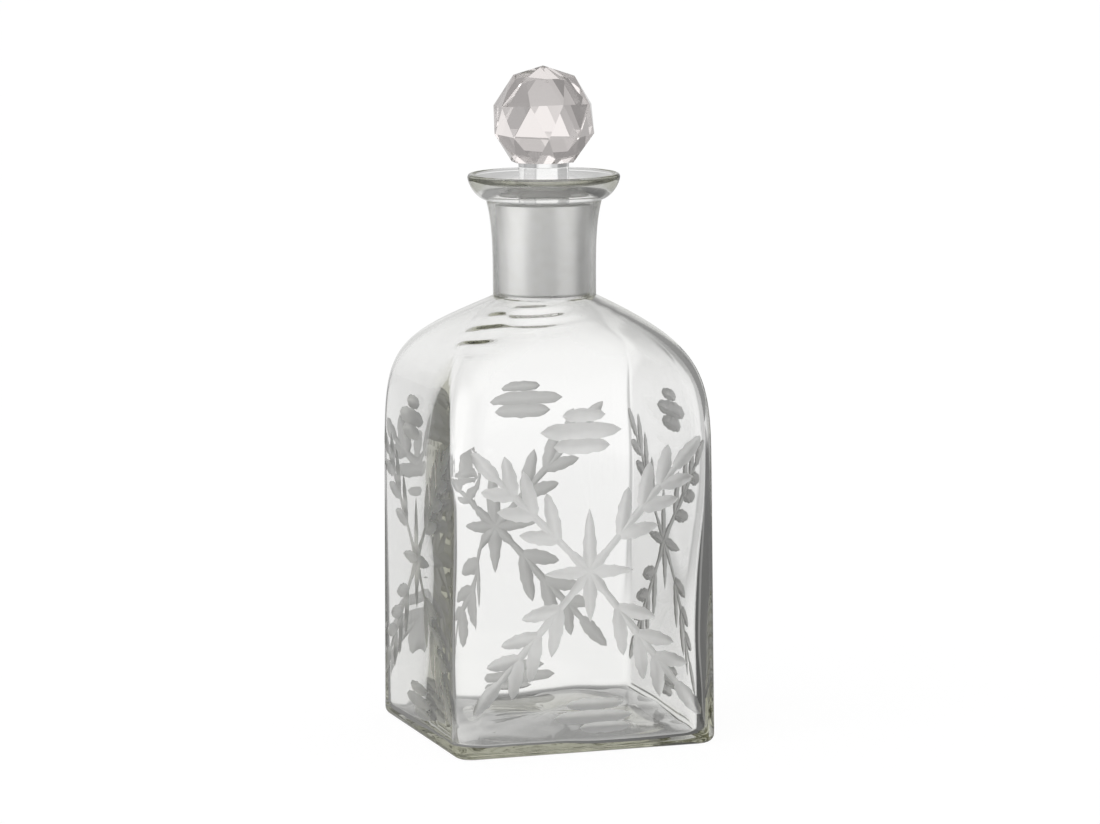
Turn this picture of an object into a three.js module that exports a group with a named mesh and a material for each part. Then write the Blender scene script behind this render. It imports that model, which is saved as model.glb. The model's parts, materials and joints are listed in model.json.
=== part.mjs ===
import * as THREE from 'three';
import { ConvexGeometry } from 'three/addons/geometries/ConvexGeometry.js';

// Square glass carafe with a ground stopper that carries a faceted ball.
// Millimetres, +Z up, standing on z = 0 with the axis of the neck through the origin.

// Body: a square foot with upright walls that lean in a little
const bodySide = 95;
const wallHeight = 97;
const wallDraft = 0.006;
const wallThickness = 3.5;
const outerCorner = 7;
const innerCorner = 10;
const footFillet = 3;
const standWidth = 9;
const pushUp = 2.5;
const pushUpCorner = 16;
const baseThickness = 6.5;
const floorFillet = 8;

// Shoulders: a vault from the square walls to the round neck
const shoulderRise = 56.7;
const shoulderLift = 34;
const shoulderReach = 31;
const shoulderSlope = THREE.MathUtils.degToRad(27);

// Neck and lip: a round neck that flares at the top into a dished lip
const neckRadius = 18;
const neckLength = 33.5;
const neckFlare = 2.2;
const neckFlarePower = 4;
const neckWall = 1.8;
const seatTaper = 0.03;
const lipRadius = 26.6;
const lipHeight = 9.1;
const lipThickness = 3.2;
const lipBelly = 3.8;

// Stopper: a ground plug in the neck's seat, a polished stem and a faceted ball bonded on it
const plugLength = 33;
const plugClearance = 0.3;
const plugChamfer = 1;
const stemRadius = 8.8;
const stemLength = 13.1;
const stemFillet = 1.5;
const ballRadius = 18.7;
const ballTurn = THREE.MathUtils.degToRad(17);
const facetsAround = 9;
const facetLatitudes = [54, 17, -16, -52].map(THREE.MathUtils.degToRad);

// How finely the round shapes are divided
const faceSteps = 5;
const cornerSteps = 2;
const curveSteps = 12;
const filletSteps = 3;
const turnSteps = 48;

const RIGHT_ANGLE = Math.PI / 2;
const SHARPEST_FOLD = Math.PI / 4;

// Heights, stacked from the foot upwards
const floorZ = pushUp + baseThickness;
const neckRootZ = wallHeight + shoulderRise;
const neckTopZ = neckRootZ + neckLength;
const rimZ = neckTopZ + lipHeight;
const plugBottomZ = neckTopZ - plugLength;
const ballSeatZ = neckTopZ + stemLength;
const ballCentreZ = ballSeatZ - ballRadius * Math.sin(facetLatitudes.at(-1));

const wallHalf = (z) => bodySide / 2 - wallDraft * z;
const boreRadius = (z) => neckRadius - neckWall + seatTaper * (z - neckRootZ);
const plugRadius = (z) => boreRadius(z) - plugClearance;

// The directions of the points round one level, each with its fold from the nearest face's middle.
function ringDirections() {
  const cornerStart = Math.atan2(bodySide / 2 - outerCorner, bodySide / 2);
  const folds = [];
  for (let step = 0; step < faceSteps; step += 1) {
    folds.push((cornerStart * step) / faceSteps);
  }
  for (let step = 0; step < cornerSteps; step += 1) {
    folds.push(cornerStart + ((SHARPEST_FOLD - cornerStart) * step) / cornerSteps);
  }
  const directions = [];
  for (let quarter = 0; quarter < 4; quarter += 1) {
    const face = quarter * RIGHT_ANGLE;
    folds.forEach((fold) => directions.push({ turn: face + fold, fold }));
    directions.push({ turn: face + SHARPEST_FOLD, fold: SHARPEST_FOLD });
    const falling = folds.slice(1).reverse();
    falling.forEach((fold) => directions.push({ turn: face + RIGHT_ANGLE - fold, fold }));
  }
  return directions;
}

// Distance from the axis to the edge of a square with rounded corners.
// A corner radius as large as the half width makes the square a circle.
function sectionReach(fold, half, corner) {
  const round = Math.min(corner, half);
  const flat = half - round;
  if (half * Math.tan(fold) <= flat) {
    return half / Math.cos(fold);
  }
  const along = flat * (Math.cos(fold) + Math.sin(fold));
  const across = flat * flat * (1 - Math.sin(2 * fold));
  return along + Math.sqrt(Math.max(0, round * round - across));
}

// A closed skin through a list of levels, drawn to a point on the axis at each end.
function loft(startZ, levels, endZ) {
  const directions = ringDirections();
  const count = directions.length;
  const positions = [0, 0, startZ];
  levels.forEach(({ half, corner, z }) => {
    directions.forEach(({ turn, fold }) => {
      const reach = sectionReach(fold, half, corner);
      positions.push(reach * Math.cos(turn), reach * Math.sin(turn), z);
    });
  });
  positions.push(0, 0, endZ);

  const at = (level, step) => 1 + level * count + (step % count);
  const lastLevel = levels.length - 1;
  const lastPoint = 1 + levels.length * count;
  const index = [];
  for (let step = 0; step < count; step += 1) {
    index.push(0, at(0, step + 1), at(0, step));
    for (let level = 0; level < lastLevel; level += 1) {
      index.push(at(level, step), at(level, step + 1), at(level + 1, step + 1));
      index.push(at(level, step), at(level + 1, step + 1), at(level + 1, step));
    }
    index.push(at(lastLevel, step), at(lastLevel, step + 1), lastPoint);
  }
  const geometry = new THREE.BufferGeometry();
  geometry.setAttribute('position', new THREE.Float32BufferAttribute(positions, 3));
  geometry.setIndex(index);
  geometry.computeVertexNormals();
  return geometry;
}

const roundLevel = (radius, z) => ({ half: radius, corner: radius, z });

// The foot: the hollow underneath, the flat rim round it and the fillet up to the walls.
function footLevels() {
  const levels = [];
  const hollowHalf = bodySide / 2 - footFillet - standWidth;
  for (let step = 1; step <= filletSteps; step += 1) {
    const share = step / filletSteps;
    levels.push({ half: hollowHalf * share, corner: pushUpCorner * share, z: pushUp * (1 - share * share) });
  }
  for (let step = 0; step <= filletSteps; step += 1) {
    const angle = RIGHT_ANGLE * (step / filletSteps);
    const inset = footFillet * (1 - Math.sin(angle));
    const z = footFillet * (1 - Math.cos(angle));
    levels.push({ half: wallHalf(z) - inset, corner: outerCorner - inset, z });
  }
  return levels;
}

// One skin of the shoulders, from the walls to a circle at the neck.
function shoulderLevels(startHalf, startCorner, endRadius, endZ) {
  const lift = (shoulderLift * (endZ - wallHeight)) / shoulderRise;
  const reach = (shoulderReach * (startHalf - endRadius)) / (wallHalf(wallHeight) - neckRadius);
  const curve = new THREE.CubicBezierCurve(
    new THREE.Vector2(startHalf, wallHeight),
    new THREE.Vector2(startHalf - wallDraft * lift, wallHeight + lift),
    new THREE.Vector2(endRadius + reach * Math.cos(shoulderSlope), endZ - reach * Math.sin(shoulderSlope)),
    new THREE.Vector2(endRadius, endZ),
  );
  return curve.getPoints(curveSteps).map(({ x, y }) => {
    const squareness = (x - endRadius) / (startHalf - endRadius);
    return { half: x, corner: startCorner * squareness + x * (1 - squareness), z: y };
  });
}

// The outside of the neck above its root.
function neckLevels() {
  const levels = [];
  for (let step = 1; step <= filletSteps + 1; step += 1) {
    const share = step / (filletSteps + 1);
    const radius = neckRadius + neckFlare * share ** neckFlarePower;
    levels.push(roundLevel(radius, neckRootZ + neckLength * share));
  }
  return levels;
}

// The lip: its full underside, its round rim and the dish that leads into the seat.
function lipLevels() {
  const rimRadius = lipThickness / 2;
  const rimCentreZ = rimZ - rimRadius;
  const neckTopRadius = neckRadius + neckFlare;
  const underside = new THREE.CubicBezierCurve(
    new THREE.Vector2(neckTopRadius, neckTopZ),
    new THREE.Vector2(neckTopRadius + lipBelly, neckTopZ + rimRadius / 2),
    new THREE.Vector2(lipRadius, rimCentreZ - lipThickness),
    new THREE.Vector2(lipRadius, rimCentreZ),
  );
  const levels = underside.getPoints(filletSteps + 1).slice(1).map(({ x, y }) => roundLevel(x, y));
  for (let step = 1; step <= filletSteps; step += 1) {
    const angle = Math.PI * (step / filletSteps);
    const radius = lipRadius - rimRadius * (1 - Math.cos(angle));
    levels.push(roundLevel(radius, rimCentreZ + rimRadius * Math.sin(angle)));
  }
  const seatMouth = boreRadius(neckTopZ);
  const dish = new THREE.QuadraticBezierCurve(
    new THREE.Vector2(lipRadius - lipThickness, rimCentreZ),
    new THREE.Vector2(seatMouth + rimRadius, neckTopZ + lipThickness),
    new THREE.Vector2(seatMouth, neckTopZ),
  );
  dish.getPoints(filletSteps).slice(1).forEach(({ x, y }) => levels.push(roundLevel(x, y)));
  return levels;
}

// The inside: the tapered seat, the shoulders, the walls and the rounded floor.
function insideLevels() {
  const throatDrop = wallThickness / Math.cos(shoulderSlope) - neckWall * Math.tan(shoulderSlope);
  const throatZ = neckRootZ - throatDrop;
  const innerHalf = (z) => wallHalf(z) - wallThickness;
  const levels = shoulderLevels(innerHalf(wallHeight), innerCorner, boreRadius(throatZ), throatZ).reverse();
  for (let step = 0; step <= filletSteps; step += 1) {
    const angle = RIGHT_ANGLE * (step / filletSteps);
    const z = floorZ + floorFillet * (1 - Math.sin(angle));
    levels.push({ half: innerHalf(z) - floorFillet * (1 - Math.cos(angle)), corner: innerCorner, z });
  }
  return levels;
}

// The glass body, one skin from the middle of the underside over the lip to the middle of the floor.
function carafeBody() {
  const outsideShoulders = shoulderLevels(wallHalf(wallHeight), outerCorner, neckRadius, neckRootZ);
  const levels = [...footLevels(), ...outsideShoulders, ...neckLevels(), ...lipLevels(), ...insideLevels()];
  return loft(pushUp, levels, floorZ);
}

// The plug and its stem, turned about the axis.
function stopperPlug() {
  const profile = [
    new THREE.Vector2(0, plugBottomZ),
    new THREE.Vector2(plugRadius(plugBottomZ) - plugChamfer, plugBottomZ),
    new THREE.Vector2(plugRadius(plugBottomZ + plugChamfer), plugBottomZ + plugChamfer),
    new THREE.Vector2(plugRadius(neckTopZ - plugChamfer), neckTopZ - plugChamfer),
    new THREE.Vector2(plugRadius(neckTopZ) - plugChamfer, neckTopZ),
  ];
  for (let step = 0; step <= filletSteps; step += 1) {
    const angle = RIGHT_ANGLE * (step / filletSteps);
    const radius = stemRadius + stemFillet * (1 - Math.sin(angle));
    profile.push(new THREE.Vector2(radius, neckTopZ + stemFillet * (1 - Math.cos(angle))));
  }
  profile.push(new THREE.Vector2(stemRadius, ballSeatZ));
  profile.push(new THREE.Vector2(0, ballSeatZ));
  return new THREE.LatheGeometry(profile, turnSteps).rotateX(RIGHT_ANGLE);
}

// The ball: rows of points set half a step round from each other, with a flat facet between every three.
function stopperBall() {
  const points = [new THREE.Vector3(0, 0, ballCentreZ + ballRadius)];
  facetLatitudes.forEach((latitude, row) => {
    for (let step = 0; step < facetsAround; step += 1) {
      const turn = ballTurn + (2 * Math.PI * (step + row / 2)) / facetsAround;
      const radius = ballRadius * Math.cos(latitude);
      const z = ballCentreZ + ballRadius * Math.sin(latitude);
      points.push(new THREE.Vector3(radius * Math.cos(turn), radius * Math.sin(turn), z));
    }
  });
  return new ConvexGeometry(points);
}

const clearGlass = new THREE.MeshStandardMaterial({ color: 0xdfe3dc, roughness: 0.04, metalness: 0 });
const groundGlass = new THREE.MeshStandardMaterial({ color: 0xc6c6c2, roughness: 0.6, metalness: 0 });
const cutCrystal = new THREE.MeshStandardMaterial({ color: 0xd8d0ce, roughness: 0.02, metalness: 0 });

function piece(name, geometry, material) {
  const mesh = new THREE.Mesh(geometry, material);
  mesh.name = name;
  return mesh;
}

const carafe = new THREE.Group();
carafe.add(piece('carafe_body', carafeBody(), clearGlass));

const stopper = new THREE.Group();
stopper.add(piece('stopper_plug', stopperPlug(), groundGlass));
stopper.add(piece('stopper_ball', stopperBall(), cutCrystal));
carafe.add(stopper);

export default carafe;
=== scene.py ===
"""A square blown-glass carafe with wheel-cut leaf sprays, and its ground stopper with a faceted ball.

Sizes of the pieces are in millimetres, as a glassworks gives them, and MM turns them into metres. The studio
round them is in metres, with its turns and rises in degrees.
"""

import json
import math

import bmesh
import bpy
import numpy as np
from mathutils import Matrix, Vector

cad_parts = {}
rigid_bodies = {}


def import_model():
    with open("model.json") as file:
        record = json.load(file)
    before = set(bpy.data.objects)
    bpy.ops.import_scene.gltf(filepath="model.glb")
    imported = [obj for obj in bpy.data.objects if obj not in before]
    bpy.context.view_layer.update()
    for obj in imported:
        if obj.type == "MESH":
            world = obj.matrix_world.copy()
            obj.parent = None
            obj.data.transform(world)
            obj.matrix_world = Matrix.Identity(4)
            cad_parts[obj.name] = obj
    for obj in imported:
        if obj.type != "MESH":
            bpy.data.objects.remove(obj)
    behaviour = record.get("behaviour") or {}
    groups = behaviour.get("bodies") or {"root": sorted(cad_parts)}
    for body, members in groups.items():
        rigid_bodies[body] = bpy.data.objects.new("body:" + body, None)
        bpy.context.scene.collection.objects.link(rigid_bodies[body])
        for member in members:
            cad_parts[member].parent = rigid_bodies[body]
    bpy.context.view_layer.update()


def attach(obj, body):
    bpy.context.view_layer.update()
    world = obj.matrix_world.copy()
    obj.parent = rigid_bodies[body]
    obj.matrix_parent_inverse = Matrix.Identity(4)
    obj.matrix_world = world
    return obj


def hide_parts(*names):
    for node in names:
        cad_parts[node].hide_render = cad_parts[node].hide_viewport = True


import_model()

# Camera. A long lens, a little above the carafe and left of its front face, as the photograph was taken.
# The frame is tipped by a third of a degree, and it looks just right of the carafe's middle line.
MM = 0.001
SENSOR = 36.0
LENS = 157.45
VIEW_TURN = math.radians(-18.04)
VIEW_DISTANCE = 1669.0
VIEW_HEIGHT = 343.6
AIM_HEIGHT = 112.4
AIM_RIGHT = 1.65
VIEW_TIP = math.radians(-0.37)

view_right = Vector((math.cos(VIEW_TURN), math.sin(VIEW_TURN), 0))
view_from = Vector((math.sin(VIEW_TURN) * VIEW_DISTANCE, -math.cos(VIEW_TURN) * VIEW_DISTANCE, VIEW_HEIGHT))
view_ahead = (view_right * AIM_RIGHT + Vector((0, 0, AIM_HEIGHT)) - view_from).normalized()
level_right = view_ahead.cross(Vector((0, 0, 1))).normalized()
level_up = level_right.cross(view_ahead)
tipped_right = level_right * math.cos(VIEW_TIP) + level_up * math.sin(VIEW_TIP)
tipped_up = level_up * math.cos(VIEW_TIP) - level_right * math.sin(VIEW_TIP)
camera_place = Matrix((tipped_right, tipped_up, -view_ahead)).transposed().to_4x4()
camera_place.translation = view_from * MM

camera_data = bpy.data.cameras.new("photo_camera")
camera_data.sensor_fit = "HORIZONTAL"
camera_data.sensor_width = SENSOR
camera_data.lens = LENS
camera = bpy.data.objects.new("photo_camera", camera_data)
camera.matrix_world = camera_place
bpy.context.scene.collection.objects.link(camera)
bpy.context.scene.camera = camera
bpy.context.scene.view_settings.view_transform = "Standard"

# Studio room. White boards stand round the carafe with grey gaps between them, in soft light from all sides.
# What the glass mirrors is the darker room above the boards, with soft bright cards hung in it.
SWEEP_WHITE = 1.0
GAP_GREY = 0.45
HIGH_GREY = 0.34
ROOM_GREY = 0.26
ROOM_LIGHT = 0.9
BARE_SHARE = 0.85
BARE_BEFORE = 0.5
LOST_GREY = 0.55
LOST_AFTER = 2.5
# Of each board: its turn, half its width to the outer and inner end of its soft edge, and how white it is.
BOARDS = (
    (168, 19.5, 15, 1.0),
    (137, 15, 8, 0.4),
    (106, 20, 14, 0.85),
    (-114, 28, 24, 1.0),
    (-28, 27, 22, 1.0),
    (20, 32, 26, 1.0),
)
BOARD_TOP = math.radians(3)
ROOM_FROM = math.radians(26)
# Of each card: its turn and rise, half its width to the outer and inner end of its soft edge, its gain.
CARDS = (
    (-84, 10, 42, 12, 1.4),
    (34, 10, 38, 12, 0.9),
    (-18, 10, 75, 20, 0.3),
    (162, 0, 22, 8, 0.6),
    (192, 17, 26, 10, 0.5),
    (-18, 65, 45, 20, 0.8),
)
LAMP_GLOW = (-62, 25, 75, 20, 0.8)
BOUNCES = 32


def add_node(tree, kind, **values):
    """A node of that kind, with these values on its inputs by name, or on the node itself."""
    made = tree.nodes.new(kind)
    for name, value in values.items():
        if hasattr(made, name):
            setattr(made, name, value)
        else:
            made.inputs[name.replace("_", " ")].default_value = value
    return made


def sums(tree, operation, first, second=0.0):
    """A Math node on two numbers or outputs."""
    made = tree.nodes.new("ShaderNodeMath")
    made.operation = operation
    for place, given in enumerate((first, second)):
        if isinstance(given, (int, float)):
            made.inputs[place].default_value = given
        else:
            tree.links.new(given, made.inputs[place])
    return made.outputs[0]


def blend(tree, share, first, second):
    """The first number where share is 0, the second where it is 1."""
    step = sums(tree, "MULTIPLY", share, sums(tree, "SUBTRACT", second, first))
    return sums(tree, "ADD", first, step)


def soft_step(tree, value, low, high):
    """0 below low, 1 above high, and a soft edge between them."""
    made = add_node(tree, "ShaderNodeMapRange", interpolation_type="SMOOTHSTEP")
    made.inputs["From Min"].default_value = low
    made.inputs["From Max"].default_value = high
    tree.links.new(value, made.inputs["Value"])
    return made.outputs[0]


def parts_of(tree, way):
    """The three parts of a direction or place."""
    made = tree.nodes.new("ShaderNodeSeparateXYZ")
    tree.links.new(way, made.inputs[0])
    return made.outputs


def unit_of(tree, way):
    """A direction or place at a length of 1."""
    made = add_node(tree, "ShaderNodeVectorMath", operation="NORMALIZE")
    tree.links.new(way, made.inputs[0])
    return made.outputs[0]


def seen_light(tree, straight, mirrored):
    """The Light Path node, and the light that a ray finds.

    It is white from the camera, one level straight through the glass, and another once mirrored. A bare
    outer surface mirrors a little less. A ray lost in the glass after three mirrorings finds an even grey.
    """
    path = tree.nodes.new("ShaderNodeLightPath")
    bare = sums(tree, "LESS_THAN", path.outputs["Transmission Depth"], BARE_BEFORE)
    mirrored = sums(tree, "MULTIPLY", mirrored, blend(tree, bare, 1.0, BARE_SHARE))
    turned = sums(tree, "MINIMUM", path.outputs["Glossy Depth"], 1.0)
    lost = sums(tree, "GREATER_THAN", path.outputs["Glossy Depth"], LOST_AFTER)
    through = blend(tree, lost, blend(tree, turned, straight, mirrored), LOST_GREY)
    return path, blend(tree, path.outputs["Is Camera Ray"], through, SWEEP_WHITE)


def soft_card(tree, way, turn, rise, outer, inner, gain):
    """A soft-edged bright card in the room, seen in the direction of that turn and rise."""
    turn, rise = math.radians(turn), math.radians(rise)
    level = math.cos(rise)
    facing = add_node(tree, "ShaderNodeVectorMath", operation="DOT_PRODUCT")
    facing.inputs[1].default_value = (math.sin(turn) * level, -math.cos(turn) * level, math.sin(rise))
    tree.links.new(way, facing.inputs[0])
    edge_from, edge_to = math.cos(math.radians(outer)), math.cos(math.radians(inner))
    return sums(tree, "MULTIPLY", soft_step(tree, facing.outputs["Value"], edge_from, edge_to), gain)


def boards(tree, way):
    """How white the boards round the sweep are in a direction: 1 on a board, 0 in a gap."""
    level = add_node(tree, "ShaderNodeVectorMath", operation="MULTIPLY")
    level.inputs[1].default_value = (1, 1, 0)
    tree.links.new(way, level.inputs[0])
    level_way = unit_of(tree, level.outputs[0])
    white = 0.0
    for turn, outer, inner, share in BOARDS:
        white = sums(tree, "MAXIMUM", soft_card(tree, level_way, turn, 0, outer, inner, share), white)
    return white


studio = bpy.data.worlds.new("studio")
studio.use_nodes = True
studio.cycles.sampling_method = "NONE"
bpy.context.scene.world = studio
sky = studio.node_tree
sky.nodes.clear()
sky_way = sky.nodes.new("ShaderNodeTexCoord").outputs["Generated"]
sky_room = ROOM_GREY
for card in CARDS:
    sky_room = sums(sky, "ADD", soft_card(sky, sky_way, *card), sky_room)
sky_high = soft_step(sky, parts_of(sky, sky_way)[2], math.sin(BOARD_TOP), math.sin(ROOM_FROM))
sky_low = sums(sky, "SUBTRACT", 1.0, sky_high)
sky_board = blend(sky, boards(sky, sky_way), GAP_GREY, SWEEP_WHITE)
sky_path, sky_seen = seen_light(sky, blend(sky, sky_low, HIGH_GREY, sky_board), sky_room)
sky_scattered = sums(sky, "MINIMUM", sky_path.outputs["Diffuse Depth"], 1.0)
sky_soft = sums(sky, "ADD", soft_card(sky, sky_way, *LAMP_GLOW), ROOM_LIGHT)
sky_light = add_node(sky, "ShaderNodeBackground", Color=(1, 1, 1, 1))
sky.links.new(blend(sky, sky_scattered, sky_seen, sky_soft), sky_light.inputs["Strength"])
sky_out = sky.nodes.new("ShaderNodeOutputWorld")
sky.links.new(sky_light.outputs[0], sky_out.inputs["Surface"])

cycles = bpy.context.scene.cycles
cycles.use_denoising = True
cycles.max_bounces = BOUNCES
cycles.transmission_bounces = BOUNCES
cycles.glossy_bounces = BOUNCES

# Lamp. A broad soft box on a stand left of the camera, turned to the carafe, which casts its shadow.
# The glass doesn't show it: the cards of the room stand for it there.
LAMP_POWER = 3.0
LAMP_SIZE = 0.9
LAMP_TURN = math.radians(-70)
LAMP_AWAY = 1.5
LAMP_HEIGHT = 0.95
LAMP_AIM = (0, 0, 0.1)
lamp_data = bpy.data.lights.new("soft_lamp", "AREA")
lamp_data.energy = LAMP_POWER
lamp_data.shape = "SQUARE"
lamp_data.size = LAMP_SIZE
lamp = bpy.data.objects.new("soft_lamp", lamp_data)
lamp.location = (math.sin(LAMP_TURN) * LAMP_AWAY, -math.cos(LAMP_TURN) * LAMP_AWAY, LAMP_HEIGHT)
lamp.rotation_euler = (Vector(LAMP_AIM) - lamp.location).to_track_quat("-Z", "Y").to_euler()
lamp.visible_glossy = False
lamp.visible_transmission = False
bpy.context.scene.collection.objects.link(lamp)

# Paper sweep. A wide sheet of matt white paper, evenly lit, that the carafe stands on. It is shaded under
# the foot and greyer in the gaps between the boards. What the glass mirrors of it is darker, with soft pools
# of light further out.
SWEEP_HALF = 6.0
PAPER_COLOUR = (0.95, 0.95, 0.95, 1)
PAPER_GLOW_SHARE = 0.94
WHITE_TO = (0.16, 0.34)
FOOT_SHADE = 0.34
FOOT_SHADE_OVER = (0.034, 0.052)
# Seen through a solid piece the paper is greyer beyond this ring, apart from a lane straight behind.
RING_FROM = (0.2, 0.27)
RING_GREY = 0.56
LANE = (163, 14, 4, 1.0)
LANE_FROM = (0.6, 1.1)
SOLID_BEFORE = 2.5
MIRRORED_LEFT = 0.3
MIRRORED_RIGHT = 0.09
MIRRORED_SIDES = (-0.12, 0.1)
MIRRORED_BACK = 0.8
BACK_FROM = (0.3, 0.6)
# Of each pool and stripe: its turn, half its width to the outer and inner end of its soft edge, its gain.
POOLS = (
    (-86, 36, 8, 1.7),
    (36, 32, 8, 1.25),
    (-18, 60, 20, 0.1),
    (112, 34, 12, 0.3),
)
POOLS_FROM = (0.6, 1.0)
STRIPES = (
    (77, 13, 8, -0.06),
    (88, 5, 2, 0.17),
)

sweep_mesh = bpy.data.meshes.new("sweep")
sweep_corners = [(-1, -1), (1, -1), (1, 1), (-1, 1)]
sweep_mesh.from_pydata([(x * SWEEP_HALF, y * SWEEP_HALF, 0) for x, y in sweep_corners], [], [(0, 1, 2, 3)])
sweep = bpy.data.objects.new("sweep", sweep_mesh)
bpy.context.scene.collection.objects.link(sweep)
sweep_paper = bpy.data.materials.new("sweep_paper")
sweep_paper.use_nodes = True
sweep_paper.cycles.emission_sampling = "NONE"
paper = sweep_paper.node_tree
paper.nodes.clear()
paper_place = paper.nodes.new("ShaderNodeTexCoord").outputs["Object"]
paper_way = unit_of(paper, paper_place)
paper_across, paper_along, _ = parts_of(paper, paper_place)
paper_length = add_node(paper, "ShaderNodeVectorMath", operation="LENGTH")
paper.links.new(paper_place, paper_length.inputs[0])
paper_away = paper_length.outputs["Value"]
paper_board = boards(paper, paper_place)


def paper_patch(turn, outer, inner, gain):
    """A soft-edged patch that runs outwards over the paper at that turn."""
    return soft_card(paper, paper_way, turn, 0, outer, inner, gain)


paper_gap = sums(
    paper, "MULTIPLY", soft_step(paper, paper_away, *WHITE_TO), sums(paper, "SUBTRACT", 1.0, paper_board)
)
paper_out_by = sums(
    paper, "MAXIMUM", sums(paper, "ABSOLUTE", paper_across), sums(paper, "ABSOLUTE", paper_along)
)
paper_open = blend(paper, soft_step(paper, paper_out_by, *FOOT_SHADE_OVER), FOOT_SHADE, 1.0)
paper_lane = sums(paper, "MULTIPLY", soft_step(paper, paper_away, *LANE_FROM), paper_patch(*LANE))
paper_ring = sums(paper, "SUBTRACT", soft_step(paper, paper_away, *RING_FROM), paper_lane)
paper_depth = paper.nodes.new("ShaderNodeLightPath").outputs["Transmission Depth"]
paper_solid = sums(paper, "MULTIPLY", paper_ring, sums(paper, "LESS_THAN", paper_depth, SOLID_BEFORE))
paper_straight = sums(paper, "MULTIPLY", blend(paper, paper_gap, SWEEP_WHITE, GAP_GREY), paper_open)
paper_straight = sums(paper, "MULTIPLY", paper_straight, blend(paper, paper_solid, 1.0, RING_GREY))

paper_right = soft_step(paper, paper_across, *MIRRORED_SIDES)
paper_mirrored = blend(paper, paper_right, MIRRORED_LEFT, MIRRORED_RIGHT)
paper_pools = soft_step(paper, paper_away, *POOLS_FROM)
for pool in POOLS:
    pool_light = sums(paper, "MULTIPLY", paper_patch(*pool), paper_pools)
    paper_mirrored = sums(paper, "ADD", pool_light, paper_mirrored)
for stripe in STRIPES:
    paper_mirrored = sums(paper, "ADD", paper_patch(*stripe), paper_mirrored)
paper_back = sums(paper, "MULTIPLY", soft_step(paper, paper_along, *BACK_FROM), paper_board)
paper_mirrored = blend(paper, paper_back, paper_mirrored, MIRRORED_BACK)

paper_path, paper_seen = seen_light(paper, paper_straight, paper_mirrored)
paper_glass = sums(
    paper, "MAXIMUM", paper_path.outputs["Is Glossy Ray"], paper_path.outputs["Is Transmission Ray"]
)
paper_kinds = sums(paper, "MAXIMUM", paper_path.outputs["Is Camera Ray"], paper_glass)
paper_matt = add_node(paper, "ShaderNodeBsdfDiffuse", Color=PAPER_COLOUR)
paper_glow = add_node(paper, "ShaderNodeEmission", Color=(1, 1, 1, 1))
paper_mix = paper.nodes.new("ShaderNodeMixShader")
paper_out = paper.nodes.new("ShaderNodeOutputMaterial")
paper.links.new(paper_seen, paper_glow.inputs["Strength"])
paper.links.new(sums(paper, "MULTIPLY", paper_kinds, PAPER_GLOW_SHARE), paper_mix.inputs[0])
paper.links.new(paper_matt.outputs[0], paper_mix.inputs[1])
paper.links.new(paper_glow.outputs[0], paper_mix.inputs[2])
paper.links.new(paper_mix.outputs[0], paper_out.inputs["Surface"])
sweep.data.materials.append(sweep_paper)

# Carafe. Clear soda glass with a faint olive cast, blown into a square mould in one gather: thick foot with
# a shallow hollow, four walls, round shoulders, a neck ground inside for the stopper, and a flared lip.
BODY_SIDE = 95.0
WALL_HEIGHT = 97.0
WALL_DRAFT = 0.006
OUTER_CORNER = 7.0
FOOT_FILLET = 3.0
STAND_WIDTH = 9.0
PUSH_UP = 2.5
PUSH_UP_CORNER = 16.0
SHOULDER_RISE = 56.7
SHOULDER_LIFT = 34.0
SHOULDER_REACH = 31.0
SHOULDER_SLOPE = math.radians(27)
SHOULDER_WALL = 2.8
NECK_RADIUS = 18.0
NECK_LENGTH = 33.5
NECK_FLARE = 2.2
NECK_FLARE_POWER = 4
NECK_WALL = 1.8
SEAT_TAPER = 0.03
LIP_RADIUS = 26.6
LIP_HEIGHT = 9.1
LIP_THICKNESS = 2.2
LIP_BELLY = 3.8
LIP_TURN = 0.8
DISH_SAG = 1.6

NECK_ROOT = WALL_HEIGHT + SHOULDER_RISE
NECK_TOP = NECK_ROOT + NECK_LENGTH
RIM = NECK_TOP + LIP_HEIGHT
THROAT = NECK_ROOT - (SHOULDER_WALL / math.cos(SHOULDER_SLOPE) - NECK_WALL * math.tan(SHOULDER_SLOPE))

# The inside was blown free, so each wall and corner has its own thickness, counted round from the right.
WALL_TOP = 1.8
WALL_FOOT = 3.6
WALL_THICKENS = 1.5
WALL_SWELLS = (0.2, 0.3, 2.0, 0.1)
INNER_CORNERS = (5.2, 4.8, 5.2, 5.2)
CORNER_SWELLS = (0.0, 1.0, 1.0, 4.0)
TOP_CORNERS = (0.0, 0.0, 2.8, 0.0)
TOP_CORNERS_DOWN = 0.1
FLOOR_HEIGHT = 3.4
FLOOR_FILLETS = (2.0, 2.4, 2.4, 2.2)
FLOOR_CORNERS = (4.2, 7.5, 7.5, 7.5)
FLOOR_DOME = 1.8

# Of each wave of the inside: its share, how many go round, its length upwards, and where it starts.
LEVEL = math.inf
RIPPLE = 0.12
ROUND_SHARE = 0.6
ROUND_RIPPLES = ((1.0, 3, LEVEL, 0.9), (1.0, 5, 17.0, 2.1), (1.0, 8, -11.0, 0.0))
UP_SHARE = 0.5
UP_RIPPLES = ((1.0, 2, 7.3, 0.0), (0.6, 0, 4.1, 1.3))
FLOOR_RIPPLES_FINER = 2
FLOOR_WAVE = 0.45
FLOOR_WAVES = ((1.0, 2, LEVEL, 0.5), (0.8, 3, LEVEL, 2.2), (0.35, 7, LEVEL, 1.1))

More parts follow.
